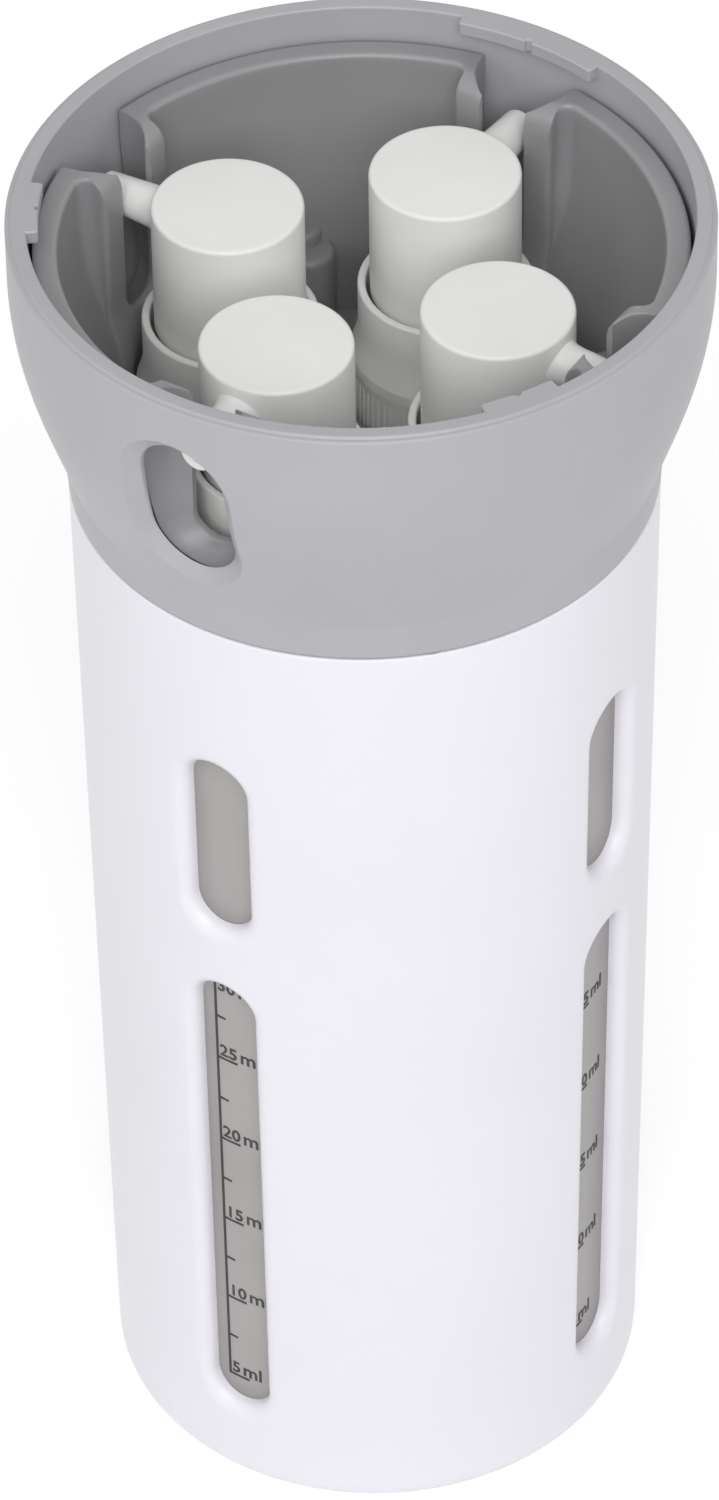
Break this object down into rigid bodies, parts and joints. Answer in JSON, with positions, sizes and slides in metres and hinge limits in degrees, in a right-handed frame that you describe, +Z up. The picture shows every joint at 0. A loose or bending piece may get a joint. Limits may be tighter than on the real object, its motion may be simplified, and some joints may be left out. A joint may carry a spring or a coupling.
{
  "type": "travel liquid dispenser",
  "caption": "Slim round travel dispenser: quarter bottles with lotion pumps in a white windowed sleeve, under a grey flared collar that turns its outlet to the pump in use.",
  "frame": {"origin": "middle of the flat base on the main axis", "axes": "+Z up along the main axis, -Y towards the collar's outlet and the front bottle"},
  "size_m": [0.072, 0.072, 0.16],
  "materials": {
    "shell_white": "smooth white moulded plastic",
    "collar_grey": "satin light grey moulded plastic",
    "guide_grey": "satin grey moulded plastic",
    "smoked_plastic": "smoky grey bottle with a dark printed volume scale",
    "pump_white": "satin white moulded plastic",
    "clear_plastic": "milky clear plastic",
    "seal": "soft sealing plastic",
    "steel": "bright drawn steel"
  },
  "bodies": {
    "base": {"outer_sleeve": "shell_white", "nozzle_guide": "guide_grey", "bottle_front": "smoked_plastic", "screw_cap_front": "pump_white", "gasket_front": "seal", "pump_housing_front": "clear_plastic", "check_ball_front": "steel", "return_spring_front": "steel", "dip_tube_front": "clear_plastic", "bottle_right": "smoked_plastic", "screw_cap_right": "pump_white", "gasket_right": "seal", "pump_housing_right": "clear_plastic", "check_ball_right": "steel", "return_spring_right": "steel", "dip_tube_right": "clear_plastic", "bottle_back": "smoked_plastic", "screw_cap_back": "pump_white", "gasket_back": "seal", "pump_housing_back": "clear_plastic", "check_ball_back": "steel", "return_spring_back": "steel", "dip_tube_back": "clear_plastic", "bottle_left": "smoked_plastic", "screw_cap_left": "pump_white", "gasket_left": "seal", "pump_housing_left": "clear_plastic", "check_ball_left": "steel", "return_spring_left": "steel", "dip_tube_left": "clear_plastic"},
    "collar": {"selector_collar": "collar_grey"},
    "pump_front": {"pump_head_front": "pump_white", "pump_stem_front": "pump_white", "pump_piston_front": "seal"},
    "pump_right": {"pump_head_right": "pump_white", "pump_stem_right": "pump_white", "pump_piston_right": "seal"},
    "pump_back": {"pump_head_back": "pump_white", "pump_stem_back": "pump_white", "pump_piston_back": "seal"},
    "pump_left": {"pump_head_left": "pump_white", "pump_stem_left": "pump_white", "pump_piston_left": "seal"}
  },
  "joints": [
    {"name": "collar_turn", "type": "hinge", "parent": "base", "child": "collar", "pos_m": [0, 0, 0.1268], "axis": [0, 0, 1], "continuous": true},
    {"name": "pump_front_press", "type": "slide", "parent": "base", "child": "pump_front", "axis": [0, 0, -1], "range_m": [0, 0.005], "stiffness_N_per_m": 800, "springref_m": -0.003, "deforming": ["return_spring_front"]},
    {"name": "pump_right_press", "type": "slide", "parent": "base", "child": "pump_right", "axis": [0, 0, -1], "range_m": [0, 0.005], "stiffness_N_per_m": 800, "springref_m": -0.003, "deforming": ["return_spring_right"]},
    {"name": "pump_back_press", "type": "slide", "parent": "base", "child": "pump_back", "axis": [0, 0, -1], "range_m": [0, 0.005], "stiffness_N_per_m": 800, "springref_m": -0.003, "deforming": ["return_spring_back"]},
    {"name": "pump_left_press", "type": "slide", "parent": "base", "child": "pump_left", "axis": [0, 0, -1], "range_m": [0, 0.005], "stiffness_N_per_m": 800, "springref_m": -0.003, "deforming": ["return_spring_left"]}
  ]
}
